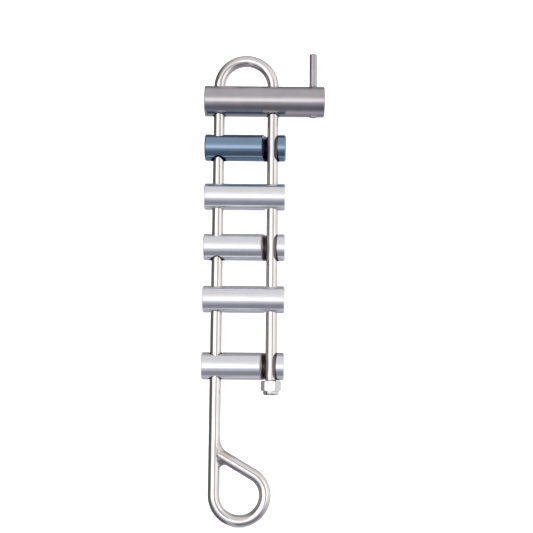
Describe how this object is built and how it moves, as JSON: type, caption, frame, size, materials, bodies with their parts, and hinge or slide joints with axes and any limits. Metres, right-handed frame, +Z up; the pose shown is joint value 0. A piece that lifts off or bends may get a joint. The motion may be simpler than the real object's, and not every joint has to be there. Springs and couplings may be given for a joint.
{
  "type": "rappel rack",
  "caption": "Rappel rack: a bent rod frame with a welded teardrop eye carries a tubular top bar with a tie-off pin and slotted brake bars that swing off one leg above a lock nut.",
  "frame": {"origin": "centre of the eye that the harness connector goes through, in the plane of the bent rod", "axes": "+Z up the legs toward the top bend, +X across from the long leg to the short leg, -Y the front, the side the picture shows"},
  "size_m": [0.0991, 0.0254, 0.3852],
  "materials": {
    "frame_steel": "polished stainless rod",
    "weld": "brushed weld bead",
    "top_bar_steel": "brushed stainless tube",
    "pin_steel": "satin stainless rod",
    "blue_bar": "blue anodised, satin",
    "plain_bar": "satin, turned",
    "nut_steel": "bright stainless",
    "insert_nylon": "natural nylon"
  },
  "bodies": {
    "frame": {"frame": "frame_steel", "eye_weld": "weld", "lock_nut": "nut_steel", "nylon_insert": "insert_nylon"},
    "top_bar": {"top_bar": "top_bar_steel", "tie_off_pin": "pin_steel", "pin_weld": "weld"},
    "bar_2": {"bar_2": "blue_bar"},
    "bar_3": {"bar_3": "plain_bar"},
    "bar_4": {"bar_4": "plain_bar"},
    "bar_5": {"bar_5": "plain_bar"},
    "bar_6": {"bar_6": "plain_bar"}
  },
  "joints": [
    {"name": "top_bar_slide", "type": "slide", "parent": "frame", "child": "top_bar", "axis": [0, 0, 1], "range_m": [-0.0152, 0.004]},
    {"name": "bar_2_swing", "type": "hinge", "parent": "frame", "child": "bar_2", "pos_m": [-0.0202, 0, 0.27956], "axis": [0, 0, 1], "range_deg": [0, 336]},
    {"name": "bar_3_swing", "type": "hinge", "parent": "frame", "child": "bar_3", "pos_m": [-0.0202, 0, 0.23844], "axis": [0, 0, 1], "range_deg": [-336, 0]},
    {"name": "bar_4_swing", "type": "hinge", "parent": "frame", "child": "bar_4", "pos_m": [-0.0202, 0, 0.19681], "axis": [0, 0, 1], "range_deg": [0, 336]},
    {"name": "bar_5_swing", "type": "hinge", "parent": "frame", "child": "bar_5", "pos_m": [-0.0202, 0, 0.15429], "axis": [0, 0, 1], "range_deg": [-336, 0]},
    {"name": "bar_6_swing", "type": "hinge", "parent": "frame", "child": "bar_6", "pos_m": [-0.0202, 0, 0.10076], "axis": [0, 0, 1], "range_deg": [0, 336]}
  ]
}
